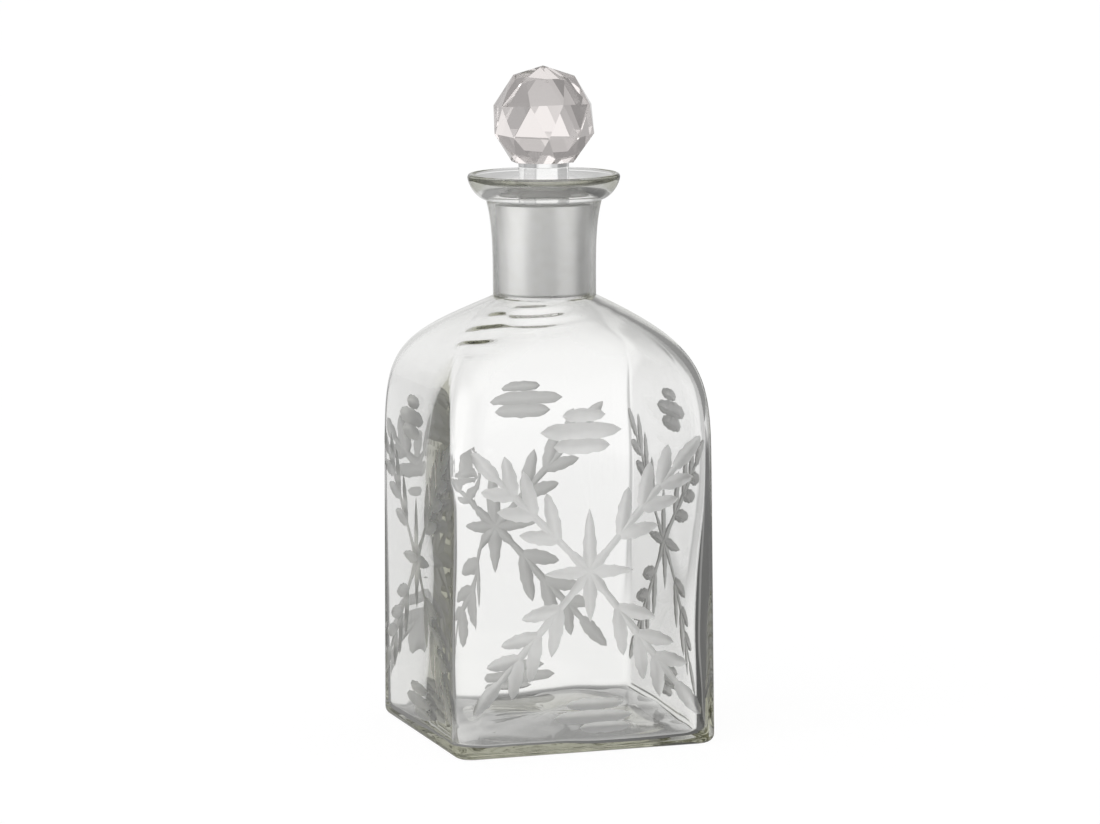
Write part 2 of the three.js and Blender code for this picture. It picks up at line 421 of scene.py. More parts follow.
# Folds lie under the neck, and a few broader ones below them on the ridge of the front left corner.
FOLD = 0.55
FOLD_SPACING = 3.0
FOLD_HEIGHT = 147.5
FOLD_REACH = 2.6
FOLD_TURN = math.radians(243)
FOLD_NARROW = 14
FOLD_ELSEWHERE = 0.02
FOLD_WANDER = 2.5
RIDGE_FOLD = 0.8
RIDGE_SPACING = 4.5
RIDGE_HEIGHT = 142.6
RIDGE_REACH = 5.0
RIDGE_TURN = math.radians(217)
RIDGE_NARROW = 90
RIDGE_SLANT = 6
RIDGE_START = 0.6

FACE_STEPS = 13
CORNER_STEPS = 14
CORNER_FROM = 38.0
quarter = np.concatenate((
    np.linspace(0, CORNER_FROM, FACE_STEPS, endpoint=False),
    np.linspace(CORNER_FROM, 90 - CORNER_FROM, CORNER_STEPS, endpoint=False),
    np.linspace(90 - CORNER_FROM, 90, FACE_STEPS, endpoint=False),
))
turns = np.radians(np.concatenate([quarter + 90 * k for k in range(4)]))
from_face = np.abs((turns + math.pi / 4) % (math.pi / 2) - math.pi / 4)
inner_corner = np.repeat(INNER_CORNERS, len(quarter))
corner_swell = np.repeat(CORNER_SWELLS, len(quarter))
floor_corner = np.repeat(FLOOR_CORNERS, len(quarter))
top_corner = np.repeat(TOP_CORNERS, len(quarter))
floor_fillet = sum(
    radius * np.clip(np.cos(turns - wall * math.pi / 2), 0, 1) ** 2
    for wall, radius in enumerate(FLOOR_FILLETS)
)


def reach_of(half, corner):
    """How far a square with rounded corners reaches from its middle, at each turn round it."""
    flat = half - corner
    across, along = np.cos(from_face), np.sin(from_face)
    bend = np.sqrt(np.maximum(corner**2 - flat**2 * (across - along) ** 2, 0))
    return np.where(along * half <= across * flat, half / across, flat * (across + along) + bend)


def wall_half(z):
    """Half the width across the flats of the outside, at a height on the walls."""
    return BODY_SIDE / 2 - WALL_DRAFT * z


def bore_radius(z):
    """The ground seat in the neck, which widens upwards."""
    return NECK_RADIUS - NECK_WALL + SEAT_TAPER * (z - NECK_ROOT)


def bent(points, t):
    """A point on the Bezier curve of these points, at a share of its way."""
    while len(points) > 1:
        points = [a + (b - a) * t for a, b in zip(points, points[1:])]
    return points[0]


def shoulder(t, start_half, start_corner, end_radius, end_height):
    """Half width, corner radius and height at a share of the way up the shoulder, from square to round."""
    lift = SHOULDER_LIFT * (end_height - WALL_HEIGHT) / SHOULDER_RISE
    pull = SHOULDER_REACH * (start_half - end_radius) / (wall_half(WALL_HEIGHT) - NECK_RADIUS)
    pull_out, pull_down = pull * math.cos(SHOULDER_SLOPE), pull * math.sin(SHOULDER_SLOPE)
    line = [
        np.array((start_half, WALL_HEIGHT)),
        np.array((start_half - WALL_DRAFT * lift, WALL_HEIGHT + lift)),
        np.array((end_radius + pull_out, end_height - pull_down)),
        np.array((end_radius, end_height)),
    ]
    half, height = bent(line, t)
    square = (half - end_radius) / (start_half - end_radius)
    return half, start_corner * square + half * (1 - square), height


def wall_inside(z):
    """Half width and corner radius of the inside: walls thicken towards the foot, corners half way up."""
    low = (WALL_HEIGHT - z) / WALL_HEIGHT
    thick = WALL_TOP + (WALL_FOOT - WALL_TOP) * low**WALL_THICKENS
    corner = inner_corner + (floor_corner - inner_corner) * low**2
    corner = corner + corner_swell * np.sin(math.pi * low) ** 2
    corner = corner + top_corner * np.maximum(1 - low / TOP_CORNERS_DOWN, 0) ** 2
    return wall_half(z) - thick, corner


# The skin of the glass is a stack of rows, each with its half width, corner radius and height. They run from
# the hollow under the foot up the outside, over the lip, and down the inside to the middle of the floor.
FOOT_ROWS = 10
FILLET_ROWS = 6
WALL_ROWS = 6
SHOULDER_ROWS = 34
NECK_ROWS = 12
LIP_ROWS = 14
RIM_ROWS = 10
INNER_SHOULDER_ROWS = 130
INNER_WALL_ROWS = 40
FLOOR_FILLET_ROWS = 8
FLOOR_ROWS = 20
FLOOR_WAVES_OVER = 6
skin = []
hollow_half = BODY_SIDE / 2 - FOOT_FILLET - STAND_WIDTH
for t in np.linspace(0, 1, FOOT_ROWS + 1)[1:]:
    skin.append((hollow_half * t, PUSH_UP_CORNER * t, PUSH_UP * (1 - t * t)))
for t in np.linspace(0, math.pi / 2, FILLET_ROWS + 1):
    inset = FOOT_FILLET * (1 - math.sin(t))
    height = FOOT_FILLET * (1 - math.cos(t))
    skin.append((wall_half(height) - inset, OUTER_CORNER - inset, height))
for height in np.linspace(FOOT_FILLET, WALL_HEIGHT, WALL_ROWS + 1)[1:-1]:
    skin.append((wall_half(height), OUTER_CORNER, height))
for t in np.linspace(0, 1, SHOULDER_ROWS + 1):
    skin.append(shoulder(t, wall_half(WALL_HEIGHT), OUTER_CORNER, NECK_RADIUS, NECK_ROOT))
for t in np.linspace(0, 1, NECK_ROWS + 1)[1:]:
    radius = NECK_RADIUS + NECK_FLARE * t**NECK_FLARE_POWER
    skin.append((radius, radius, NECK_ROOT + NECK_LENGTH * t))
rim_middle = RIM - LIP_THICKNESS / 2
lip_root = NECK_RADIUS + NECK_FLARE
lip_line = [
    np.array((lip_root, NECK_TOP)),
    np.array((lip_root + LIP_BELLY, NECK_TOP + LIP_TURN)),
    np.array((LIP_RADIUS, rim_middle - LIP_THICKNESS)),
    np.array((LIP_RADIUS, rim_middle)),
]
for t in np.linspace(0, 1, LIP_ROWS + 1)[1:]:
    radius, height = bent(lip_line, t)
    skin.append((radius, radius, height))
for t in np.linspace(0, math.pi, RIM_ROWS + 1)[1:]:
    radius = LIP_RADIUS - LIP_THICKNESS / 2 * (1 - math.cos(t))
    skin.append((radius, radius, rim_middle + LIP_THICKNESS / 2 * math.sin(t)))
seat_mouth = bore_radius(NECK_TOP)
dish_line = [
    np.array((LIP_RADIUS - LIP_THICKNESS, rim_middle)),
    np.array((seat_mouth + DISH_SAG, NECK_TOP + LIP_THICKNESS)),
    np.array((seat_mouth, NECK_TOP)),
]
for t in np.linspace(0, 1, LIP_ROWS + 1)[1:]:
    radius, height = bent(dish_line, t)
    skin.append((radius, radius, height))
seat_from = len(skin) - 1
for height in np.linspace(NECK_TOP, THROAT, NECK_ROWS + 1)[1:]:
    skin.append((bore_radius(height), bore_radius(height), height))
seat_to = len(skin) - 1
inside_from = len(skin)
inside_top = wall_half(WALL_HEIGHT) - WALL_TOP
for t in np.linspace(1, 0, INNER_SHOULDER_ROWS + 1)[1:]:
    skin.append(shoulder(t, inside_top, inner_corner + top_corner, bore_radius(THROAT), THROAT))
for t in np.linspace(0, 1, INNER_WALL_ROWS + 1)[1:]:
    height = WALL_HEIGHT + (FLOOR_HEIGHT + floor_fillet - WALL_HEIGHT) * t
    skin.append((*wall_inside(height), height))
fillet_from = len(skin)
for t in np.linspace(0, math.pi / 2, FLOOR_FILLET_ROWS + 1)[1:]:
    height = FLOOR_HEIGHT + floor_fillet * (1 - math.sin(t))
    half, corner = wall_inside(height)
    skin.append((half - floor_fillet * (1 - math.cos(t)), corner, height))
floor_half = skin[-1][0]
for t in np.linspace(1, 0, FLOOR_ROWS + 1)[1:-1]:
    skin.append((floor_half * t, floor_corner * t, FLOOR_HEIGHT + FLOOR_DOME * (1 - t * t)))


def waves(table, turn, height):
    """The waves of a table, added up at a turn and height."""
    return sum(
        share * np.sin(count * turn + height / length + start) for share, count, length, start in table
    )


def ripple(turn, height, reach):
    """The soft unevenness that blowing leaves on the inside of the glass."""
    uneven = ROUND_SHARE * waves(ROUND_RIPPLES, turn, height) + UP_SHARE * waves(UP_RIPPLES, turn, height)
    return RIPPLE * uneven * np.clip(reach / floor_half, 0, 1)


def floor_wave(turn, reach):
    """The floor's own slow rise and fall, as the glass settled in the mould."""
    return FLOOR_WAVE * waves(FLOOR_WAVES, turn, 0.0) * np.clip(reach / floor_half, 0, 1) ** 2


def folds(turn, height):
    """Soft folds inside the shoulder, where the glass was drawn in to the neck, mostly over one corner."""
    near = np.exp(-(((height - FOLD_HEIGHT) / FOLD_REACH) ** 2))
    side = np.clip(np.cos(turn - FOLD_TURN), 0, 1) ** FOLD_NARROW
    side = FOLD_ELSEWHERE + (1 - FOLD_ELSEWHERE) * side
    drawn = np.sin(2 * math.pi * height / FOLD_SPACING + FOLD_WANDER * np.sin(2 * turn))
    low = np.exp(-(((height - RIDGE_HEIGHT) / RIDGE_REACH) ** 2))
    ridge = np.clip(np.cos(turn - RIDGE_TURN), 0, 1) ** RIDGE_NARROW
    slanted = np.sin(2 * math.pi * height / RIDGE_SPACING - RIDGE_SLANT * turn + RIDGE_START)
    return FOLD * near * side * drawn + RIDGE_FOLD * low * ridge * slanted


def swell():
    """How much thicker each wall is towards its middle, where the mould cooled the glass first."""
    inside = wall_half(0) - WALL_FOOT
    share = np.minimum(np.tan(from_face) * inside / (inside - inner_corner), 1)
    wall = np.round(turns / (math.pi / 2)).astype(int) % len(WALL_SWELLS)
    return np.array(WALL_SWELLS)[wall] * (1 - share**2) / np.cos(from_face)


def skin_faces(rows, around):
    """Faces of a closed skin: a fan round the first point, bands between the rows, a fan round the last."""
    faces = [(0, 1 + (k + 1) % around, 1 + k) for k in range(around)]
    for row in range(rows - 1):
        low, high = 1 + row * around, 1 + (row + 1) * around
        faces += [
            (low + k, low + (k + 1) % around, high + (k + 1) % around, high + k) for k in range(around)
        ]
    last = 1 + (rows - 1) * around
    faces += [(last + k, last + (k + 1) % around, last + around) for k in range(around)]
    return faces


def mesh_of(name, points, faces):
    """A mesh from points in millimetres."""
    made = bpy.data.meshes.new(name)
    made.from_pydata([tuple(c * MM for c in p) for p in points], [], faces)
    made.update()
    return made


SEAT_GROUND = 0.4
rounds = len(turns)
body_points = [(0, 0, PUSH_UP)]
for row, (half, corner, height) in enumerate(skin):
    reach = reach_of(half, corner)
    heights = np.zeros(rounds) + height
    if row >= inside_from:
        settled = min(1, (row - inside_from) / INNER_SHOULDER_ROWS)
        settled = settled**2 * (3 - 2 * settled)
        reach = reach + settled * ripple(turns, height, reach)
        reach = reach - settled * swell() * np.minimum(1, (half / floor_half) ** 2)
        heights = heights + folds(turns, height)
        if row >= fillet_from:
            sunk = min(1, (row - fillet_from) / FLOOR_WAVES_OVER)
            fine = ripple(turns * FLOOR_RIPPLES_FINER, reach * FLOOR_RIPPLES_FINER, reach)
            heights = heights + sunk * (floor_wave(turns, reach) + fine)
    body_points += list(zip(reach * np.cos(turns), reach * np.sin(turns), heights))
body_points.append((0, 0, FLOOR_HEIGHT + FLOOR_DOME))
body_faces = skin_faces(len(skin), rounds)
body_mesh = mesh_of("carafe_glass", body_points, body_faces)
body = bpy.data.objects.new("carafe_glass", body_mesh)
bpy.context.scene.collection.objects.link(body)
seat_first = rounds + seat_from * rounds
seat_last = rounds + seat_to * rounds
ground_mark = body_mesh.attributes.new("ground", "FLOAT", "FACE")
ground_mark.data.foreach_set(
    "value", [SEAT_GROUND * (seat_first <= k < seat_last) for k in range(len(body_faces))]
)

# Wheel-cut ornament on each wall: a star where two leafy sprays cross, with three olives above it and below.
# Each leaf is one touch of a stone wheel, left matt, so it is a shallow boat-shaped groove in the glass.
CUT_STATIONS = 11
CUT_PROFILE = (-1, -0.72, -0.4, -0.12, 0.12, 0.4, 0.72, 1)
CUT_STAND = 0.6
CUT_SIDE = 0.35
CUT_ROUND = 1.5
CUT_END_SHARE = 0.1
CUT_END_LIFT = 0.02
CUT_UNEVEN = 0.1
CUT_SHAKES = (2.4, 7.1, 3.3)
WALL_FINDS = 40
# Of each form: a power that points the ends of the cut, and one that moves its widest place to its start.
LEAF_FORM = (0.62, 0.85)
RAY_FORM = (0.75, 0.6)
STEM_FORM = (0.3, 1.0)
OLIVE_FORM = (0.42, 0.9)
LEAF_WIDTH = 5.0
LEAF_DEPTH = 0.75
LEAF_OVERLAP = 1.2
STAR_MIDDLE = (0.0, 63.2)
STAR_RAYS = ((90, 22.3, 5.0), (270, 17.6, 5.2), (180, 16.6, 4.6), (0, 15.8, 4.6))
STAR_DIAGONAL = (13.0, 4.0)
STAR_OVERLAP = 1.5
SPRAYS = ((134.5, 61.5, 1), (48.0, 61.0, -1), (-52.5, 66.0, 1), (228.0, 64.0, -1))
PAIRS_AT = (16.4, 28.4, 38.6)
UPRIGHT_LEAVES = (17.0, 16.4, 14.4)
LEVEL_LEAVES = (14.2, 13.6, 12.0)
UPRIGHT_TURN = 31.0
LEVEL_TURN = 36.0
END_LEAF = 15.5
SPRAY_STEM_WIDTH = 2.7
SPRAY_STEM_DEPTH = 0.5
OLIVES = ((0.0, 112.0, 29.5, 6.2), (0.2, 106.9, 20.5, 5.6), (1.2, 117.4, 15.5, 4.8))
OLIVE_DEPTH = 0.95
LOW_OLIVES = ((0.0, 12.8, 29.0, 4.8), (0.7, 17.2, 21.0, 4.2), (4.5, 9.0, 19.0, 4.0))
LOW_OLIVE_DEPTH = 0.75
# How each wall was cut by hand: shift, rise and tilt of its star, shift of its olives, shift and rise of its
# low olives. The front wall comes first, then the right, back and left ones.
WALL_SHIFTS = (
    (0.4, 0.0, 0.0, -2.4, 1.0, 0.0),
    (5.0, -0.5, 1.2, -2.9, 0.0, 0.2),
    (4.8, 1.6, -1.0, -6.0, -3.1, -4.5),
    (-1.5, -0.6, 0.8, -7.5, 0.3, 0.0),
)


def outer_half(height):
    """Half width of the outside at a height on the wall or low on the shoulder."""
    if height <= WALL_HEIGHT:
        return wall_half(height)
    low, high = 0.0, 1.0
    for _ in range(WALL_FINDS):
        middle = (low + high) / 2
        half, _, reached = shoulder(middle, wall_half(WALL_HEIGHT), OUTER_CORNER, NECK_RADIUS, NECK_ROOT)
        low, high = (middle, high) if reached < height else (low, middle)
    return half


def on_face(face, across, up):
    """The point of the outside at these face coordinates."""
    flat = Vector((across, -outer_half(up), up))
    return Matrix.Rotation(face * math.pi / 2, 3, "Z") @ flat


def wheel_cut(face, start, tip, width, depth, form):
    """Points and faces of the wheel's sweep along one cut, from start to tip on that face."""
    pointed, leaning = form
    shake_along, shake_across, shake_up = CUT_SHAKES
    base, end = on_face(face, *start), on_face(face, *tip)
    across, up = [(a + b) / 2 for a, b in zip(start, tip)]
    up_face = (on_face(face, across, up + 1) - on_face(face, across, up - 1)).normalized()
    across_face = Matrix.Rotation(face * math.pi / 2, 3, "Z") @ Vector((1, 0, 0))
    outward = across_face.cross(up_face)
    along = (end - base).normalized()
    outward = (outward - along * outward.dot(along)).normalized()
    side = outward.cross(along)
    points, faces = [], []
    ring = len(CUT_PROFILE) + 2
    for station in range(CUT_STATIONS):
        t = station / (CUT_STATIONS - 1)
        lean = t**leaning
        full = max(4 * lean * (1 - lean), 0) ** pointed
        spine = base.lerp(end, t)
        shake = math.sin(shake_along * station + shake_across * start[0] + shake_up * tip[1] + face)
        half = width / 2 * full * (1 + CUT_UNEVEN * shake) + CUT_SIDE * CUT_END_SHARE
        lift = CUT_END_LIFT * (1 - full)
        points.append(spine + side * (-half - CUT_SIDE) + outward * CUT_STAND)
        for q in CUT_PROFILE:
            sunk = depth * full * (1 - abs(q) ** CUT_ROUND)
            points.append(spine + side * (half * q) + outward * (lift - sunk))
        points.append(spine + side * (half + CUT_SIDE) + outward * CUT_STAND)
    for station in range(CUT_STATIONS - 1):
        here, there = station * ring, (station + 1) * ring
        faces += [(here + k, here + (k + 1) % ring, there + (k + 1) % ring, there + k) for k in range(ring)]
    faces.append(tuple(reversed(range(ring))))
    faces.append(tuple((CUT_STATIONS - 1) * ring + k for k in range(ring)))
    return points, faces


def away(start, turn, length):
    """The face point that lies at this turn and distance from start."""
    return start[0] + math.cos(math.radians(turn)) * length, start[1] + math.sin(math.radians(turn)) * length


cuts = bpy.data.collections.new("wheel_cuts")
bpy.context.scene.collection.children.link(cuts)


def cut(face, start, tip, width, depth, form=LEAF_FORM):
    """Puts one wheel sweep in the collection that is cut from the carafe."""
    points, faces = wheel_cut(face, start, tip, width, depth, form)
    groove_mesh = mesh_of("wheel_cut", points, faces)
    mark = groove_mesh.attributes.new("ground", "FLOAT", "FACE")
    mark.data.foreach_set("value", [1.0] * len(faces))
    cuts.objects.link(bpy.data.objects.new("wheel_cut", groove_mesh))


def star_ray(face, star, turn, length, width):
    """One ray of the star, which starts a little past its middle."""
    start = away(star, turn + 180, STAR_OVERLAP)
    cut(face, start, away(star, turn, length), width, LEAF_DEPTH, RAY_FORM)


for face, (shift, rise, tilt, olive_shift, low_shift, low_rise) in enumerate(WALL_SHIFTS):
    star = (STAR_MIDDLE[0] + shift, STAR_MIDDLE[1] + rise)
    for turn, length, width in STAR_RAYS:
        star_ray(face, star, turn + tilt, length, width)
    for turn, length, upright in SPRAYS:
        turn += tilt
        star_ray(face, star, turn, *STAR_DIAGONAL)
        stem_tip = away(star, turn, length - END_LEAF / 2)
        cut(face, star, stem_tip, SPRAY_STEM_WIDTH, SPRAY_STEM_DEPTH, STEM_FORM)
        cut(face, away(star, turn, length - END_LEAF), away(star, turn, length), LEAF_WIDTH, LEAF_DEPTH)
        for at, tall, wide in zip(PAIRS_AT, UPRIGHT_LEAVES, LEVEL_LEAVES):
            root = away(star, turn, at)
            for side, leaf in ((-upright * UPRIGHT_TURN, tall), (upright * LEVEL_TURN, wide)):
                base = away(root, turn + side, -LEAF_OVERLAP)
                cut(face, base, away(root, turn + side, leaf), LEAF_WIDTH, LEAF_DEPTH)
    for olives, depth, aside, lift in (
        (OLIVES, OLIVE_DEPTH, olive_shift, 0.0),
        (LOW_OLIVES, LOW_OLIVE_DEPTH, low_shift, low_rise),
    ):
        for across, up, length, width in olives:
            left = (across + aside - length / 2, up + lift)
            right = (across + aside + length / 2, up + lift)
            cut(face, left, right, width, depth, OLIVE_FORM)

cutter = body.modifiers.new("wheel_cuts", "BOOLEAN")
cutter.operation = "DIFFERENCE"
cutter.operand_type = "COLLECTION"
cutter.collection = cuts
cutter.solver = "MANIFOLD"
scene_now = bpy.context.evaluated_depsgraph_get()
cut_mesh = bpy.data.meshes.new_from_object(body.evaluated_get(scene_now))
body.modifiers.clear()
body.data = cut_mesh
for groove in list(cuts.objects):
    bpy.data.objects.remove(groove)
bpy.data.collections.remove(cuts)


def shade(mesh, crease):
    """Smooth faces, with a crease where the ground surface meets the clear one and at sharp turns."""
    edges = bmesh.new()
    edges.from_mesh(mesh)
    ground = edges.faces.layers.float.get("ground")
    for face in edges.faces:
        face.smooth = True
    for edge in edges.edges:
        pair = edge.link_faces
        if len(pair) == 2:
            meets = ground is not None and pair[0][ground] != pair[1][ground]
            edge.smooth = not meets and edge.calc_face_angle() < crease
    edges.to_mesh(mesh)
    edges.free()


CREASE = math.radians(24)
shade(cut_mesh, CREASE)

# Glass of the carafe: clear, with a slightly rippled blown surface and an olive cast in its depth. Marked
# faces are ground by stone: coarse and whitish in the cuts, fine in the seat of the neck. Where a cut is
# seen from inside the glass it is painted a far darker grey: that darker grey is painted shade on the back
# cuts.
CLEAR_COLOUR = (1.0, 1.0, 1.0, 1)
GROUND_OUTSIDE = (0.83, 0.83, 0.815, 1)
GROUND_INSIDE_PAINTED_SHADE = (0.35, 0.35, 0.34, 1)
GLASS_BEND = 1.5
OLIVE_CAST = (0.556, 0.556, 0.3, 1)
CAST_DENSITY = 9.0
CLEAR_ROUGH = 0.0
GROUND_ROUGH = 0.5
COAT_ROUGH = 0.6
COAT_BEND = 2.4
BUMP_DEPTH = 0.00003
COARSE_FROM = (0.7, 1.0)
GRAIN_SCALE = 2600.0
GRAIN_DETAIL = 3.0
GRAIN_ROUGH = (0.3, 0.85)
CLOUD_SCALE = 260.0
CLOUD_DETAIL = 4.0
CLOUD_SHADE = (0.24, 0.88)
RIPPLE_SCALE = 38.0
RIPPLE_DETAIL = 1.0
MIX_SHARE, MIX_FIRST, MIX_SECOND, MIX_RESULT = 0, 6, 7, 2


def new_group(name, takes, gives):
    """A shader node group with these named sockets, and its inner ends."""
    group = bpy.data.node_groups.new(name, "ShaderNodeTree")
    for socket, kind in takes:
        group.interface.new_socket(socket, in_out="INPUT", socket_type=kind)
    for socket, kind in gives:
        group.interface.new_socket(socket, in_out="OUTPUT", socket_type=kind)
    return group, group.nodes.new("NodeGroupInput"), group.nodes.new("NodeGroupOutput")


def noise(tree, scale, detail):
    """Noise in the piece's own place, with its scale per metre."""
    place = tree.nodes.new("ShaderNodeTexCoord")
    made = add_node(tree, "ShaderNodeTexNoise", Scale=scale, Detail=detail)
    tree.links.new(place.outputs["Object"], made.inputs["Vector"])
    return made.outputs[0]


def spread(tree, value, depth, least):
    """A value spread over that depth, from the least one up."""
    return sums(tree, "ADD", sums(tree, "MULTIPLY", value, depth), least)


def blend_colour(tree, share, first, second):
    """One colour over another by a share."""
    made = tree.nodes.new("ShaderNodeMix")
    made.data_type = "RGBA"
    for place, given in ((MIX_SHARE, share), (MIX_FIRST, first), (MIX_SECOND, second)):
        if isinstance(given, tuple):
            made.inputs[place].default_value = given
        else:
            tree.links.new(given, made.inputs[place])
    return made.outputs[MIX_RESULT]


grind, grind_in, grind_out = new_group(
    "ground_by_stone",
    (
        ("Ground", "NodeSocketFloat"),
        ("Clear Colour", "NodeSocketColor"),
        ("Ground Colour", "NodeSocketColor"),
        ("Clear Rough", "NodeSocketFloat"),
        ("Ground Rough", "NodeSocketFloat"),
    ),
    (
        ("Colour", "NodeSocketColor"),
        ("Rough", "NodeSocketFloat"),
        ("Height", "NodeSocketFloat"),
        ("Coarse", "NodeSocketFloat"),
    ),
)
grind_ground = grind_in.outputs["Ground"]
grind_clear_rough = grind_in.outputs["Clear Rough"]
grain = noise(grind, GRAIN_SCALE, GRAIN_DETAIL)
cloud = noise(grind, CLOUD_SCALE, CLOUD_DETAIL)
cloudy = add_node(grind, "ShaderNodeVectorMath", operation="SCALE")
grind.links.new(grind_in.outputs["Ground Colour"], cloudy.inputs[0])
grind.links.new(spread(grind, cloud, *CLOUD_SHADE), cloudy.inputs["Scale"])
coarse = soft_step(grind, grind_ground, *COARSE_FROM)
coarse_colour = blend_colour(grind, coarse, grind_in.outputs["Clear Colour"], cloudy.outputs[0])
rough_more = sums(grind, "SUBTRACT", grind_in.outputs["Ground Rough"], grind_clear_rough)
rough_here = sums(grind, "MULTIPLY", rough_more, spread(grind, grain, *GRAIN_ROUGH))
rough = sums(grind, "ADD", grind_clear_rough, sums(grind, "MULTIPLY", rough_here, grind_ground))
grind.links.new(coarse_colour, grind_out.inputs["Colour"])
grind.links.new(rough, grind_out.inputs["Rough"])
grind.links.new(sums(grind, "MULTIPLY", grain, grind_ground), grind_out.inputs["Height"])
grind.links.new(coarse, grind_out.inputs["Coarse"])

flow, flow_in, flow_out = new_group(
    "blown_surface", (("Scale", "NodeSocketFloat"),), (("Height", "NodeSocketFloat"),)
)
flow_place = flow.nodes.new("ShaderNodeTexCoord")
flow_noise = add_node(flow, "ShaderNodeTexNoise", Detail=RIPPLE_DETAIL)
flow.links.new(flow_place.outputs["Object"], flow_noise.inputs["Vector"])
flow.links.new(flow_in.outputs["Scale"], flow_noise.inputs["Scale"])
flow.links.new(flow_noise.outputs[0], flow_out.inputs["Height"])


def new_glass(name, clear, bend):
    """A glass with its name, how clear it is and how much it bends light; its nodes, and its shader."""
    made = bpy.data.materials.new(name)
    made.use_nodes = True
    shader = made.node_tree.nodes["Principled BSDF"]
    shader.inputs["Transmission Weight"].default_value = clear
    shader.inputs["IOR"].default_value = bend
    return made, made.node_tree, shader


def add_bump(tree, shader, height, depth):
    """Gives the shader's surface that relief."""
    bump = add_node(tree, "ShaderNodeBump", Strength=1.0, Distance=depth)
    tree.links.new(height, bump.inputs["Height"])
    tree.links.new(bump.outputs["Normal"], shader.inputs["Normal"])


carafe_glass, glass, glass_shader = new_glass("clear_glass", 1.0, GLASS_BEND)
glass_shader.inputs["Coat Roughness"].default_value = COAT_ROUGH
glass_shader.inputs["Coat IOR"].default_value = COAT_BEND
glass_mark = add_node(glass, "ShaderNodeAttribute", attribute_name="ground")
glass_ground = add_node(
    glass,
    "ShaderNodeGroup",
    node_tree=grind,
    Clear_Colour=CLEAR_COLOUR,
    Clear_Rough=CLEAR_ROUGH,
    Ground_Rough=GROUND_ROUGH,
)
# Backfacing gives the cuts seen from inside the glass the darker grey, which is painted shade.
glass_side = glass.nodes.new("ShaderNodeNewGeometry").outputs["Backfacing"]
glass_ground_with_painted_shade = blend_colour(glass, glass_side, GROUND_OUTSIDE, GROUND_INSIDE_PAINTED_SHADE)
glass.links.new(glass_ground_with_painted_shade, glass_ground.inputs["Ground Colour"])
glass.links.new(glass_mark.outputs["Fac"], glass_ground.inputs["Ground"])
glass.links.new(glass_ground.outputs["Coarse"], glass_shader.inputs["Coat Weight"])
glass.links.new(glass_ground.outputs["Colour"], glass_shader.inputs["Base Color"])
glass.links.new(glass_ground.outputs["Rough"], glass_shader.inputs["Roughness"])
glass_flow = add_node(glass, "ShaderNodeGroup", node_tree=flow, Scale=RIPPLE_SCALE)
glass_height = sums(glass, "ADD", glass_flow.outputs["Height"], glass_ground.outputs["Height"])
add_bump(glass, glass_shader, glass_height, BUMP_DEPTH)
glass_cast = add_node(glass, "ShaderNodeVolumeAbsorption", Color=OLIVE_CAST, Density=CAST_DENSITY)
glass.links.new(glass_cast.outputs[0], glass.nodes["Material Output"].inputs["Volume"])
cut_mesh.materials.clear()
cut_mesh.materials.append(carafe_glass)
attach(body, "carafe")
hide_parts("carafe_body")

# Stopper peg. Solid glass: a tapered plug ground matt to seat in the neck, and a polished stem above it.
# It is drawn and ground as one piece, and the ball is bonded to the flat top of the stem.
PLUG_BOTTOM = 154.2
PLUG_CLEARANCE = 0.3
PLUG_CHAMFER = 1.0
STEM_RADIUS = 8.8
STEM_TOP = 200.3
STEM_FILLET = 1.5
PEG_ROUNDS = 96
PEG_ROWS = 10


def plug_radius(z):
    """The plug follows the seat with a little clearance."""
    return bore_radius(z) - PLUG_CLEARANCE


plug_top = NECK_TOP
peg_line = [(plug_radius(PLUG_BOTTOM) - PLUG_CHAMFER, PLUG_BOTTOM)]
for height in np.linspace(PLUG_BOTTOM + PLUG_CHAMFER, plug_top - PLUG_CHAMFER, PEG_ROWS):
    peg_line.append((plug_radius(height), height))
ground_to = len(peg_line)
peg_line.append((plug_radius(plug_top) - PLUG_CHAMFER, plug_top))
for t in np.linspace(0, math.pi / 2, PEG_ROWS):
    radius = STEM_RADIUS + STEM_FILLET * (1 - math.sin(t))
    peg_line.append((radius, plug_top + STEM_FILLET * (1 - math.cos(t))))
for height in np.linspace(plug_top + STEM_FILLET, STEM_TOP, PEG_ROWS)[1:]:
    peg_line.append((STEM_RADIUS, height))
peg_turns = np.linspace(0, 2 * math.pi, PEG_ROUNDS, endpoint=False)
peg_points = [(0, 0, PLUG_BOTTOM)]
for radius, height in peg_line:
    peg_points += [(radius * math.cos(a), radius * math.sin(a), height) for a in peg_turns]
peg_points.append((0, 0, STEM_TOP))
peg_faces = skin_faces(len(peg_line), PEG_ROUNDS)
peg_mesh = mesh_of("stopper_peg", peg_points, peg_faces)
shade(peg_mesh, CREASE)
peg = bpy.data.objects.new("stopper_peg", peg_mesh)
bpy.context.scene.collection.objects.link(peg)

# Glass of the peg: the ground plug scatters nearly all the light and looks silvery through the neck, with
# fine lines from the lathe, and the stem is as clear as the carafe.
PLUG_COLOUR = (1.0, 1.0, 0.985, 1)
PLUG_CLEAR_SHARE = 0.05
PLUG_SILVER = 0.48
PLUG_ROUGH = 0.42
PLUG_COAT = 0.25
SATIN_ROUGH = 0.35
SATIN_BEND = 1.8
SATIN_DEPTH = 0.000008
LATHE_LINES = (60.0, 60.0, 2400.0)
LATHE_DETAIL = 2.0
LATHE_DEPTH = 0.00001
STEM_RIPPLE_SCALE = 152.0
plug_glass, plug, plug_shader = new_glass("ground_plug", PLUG_CLEAR_SHARE, GLASS_BEND)
plug_shader.inputs["Metallic"].default_value = PLUG_SILVER
plug_shader.inputs["Coat Weight"].default_value = PLUG_COAT
plug_shader.inputs["Coat Roughness"].default_value = SATIN_ROUGH
plug_shader.inputs["Coat IOR"].default_value = SATIN_BEND
